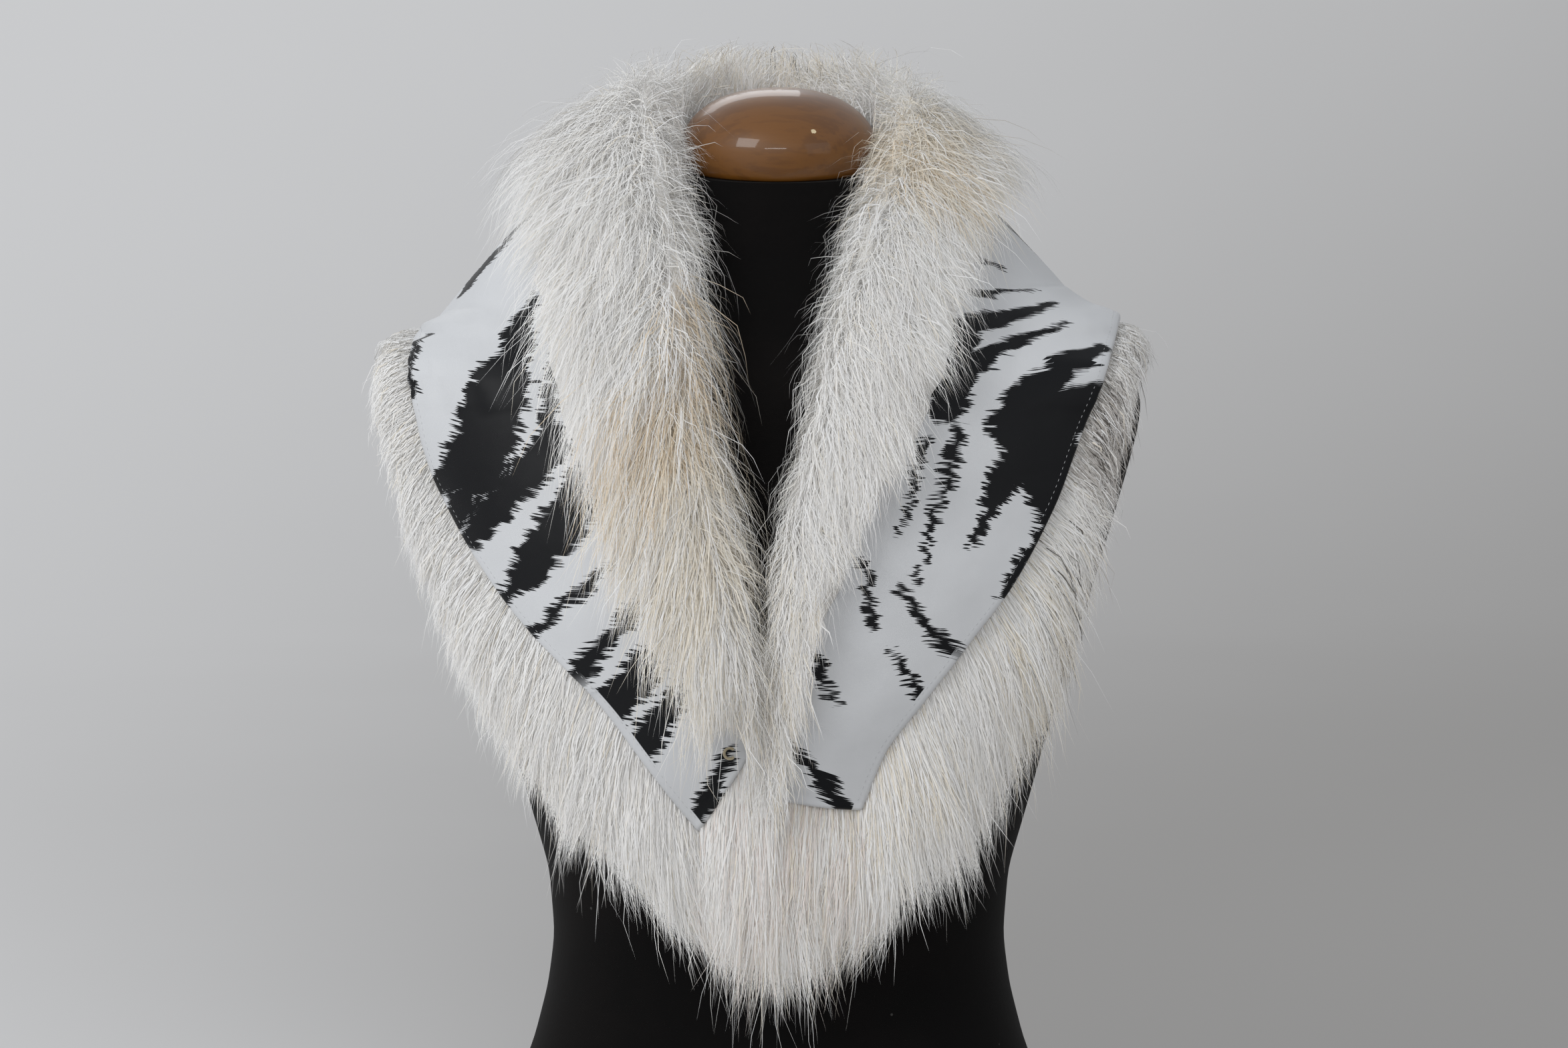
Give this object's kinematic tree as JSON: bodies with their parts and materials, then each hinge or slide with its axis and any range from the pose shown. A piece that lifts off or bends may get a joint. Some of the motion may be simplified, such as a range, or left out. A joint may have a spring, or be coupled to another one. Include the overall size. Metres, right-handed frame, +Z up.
{
  "type": "fur collar wrap on a dress form",
  "caption": "Long-haired fur shawl collar with a striped lining, neck edge rolled back, resting on a limbless dress form with a turned neck cap.",
  "frame": {"origin": "centre of the dress form's flat base, on the surface it stands on", "axes": "+Z up, -Y towards the front of the form, +X towards the viewer's right when facing the front"},
  "size_m": [0.4513, 0.3077, 0.7358],
  "materials": {
    "black_jersey": "matt black jersey over a smooth shell",
    "varnished_wood": "orange-brown wood under clear gloss varnish",
    "skin_side": "dressed fur skin, cream, matt",
    "printed_lining": "white satin with black feathered animal stripes",
    "white_fur": "long soft white hair with ivory and tan patches",
    "covered_wire": "wire wound with cream thread"
  },
  "bodies": {
    "root": {"form_torso": "black_jersey", "form_cap": "varnished_wood", "pelt_left": "skin_side", "pelt_right": "skin_side", "lining_left": "printed_lining", "lining_right": "printed_lining", "roll_fur_left": "white_fur", "roll_fur_right": "white_fur", "hem_fur_left": "white_fur", "hem_fur_right": "white_fur", "hook_eye": "covered_wire"}
  },
  "joints": []
}
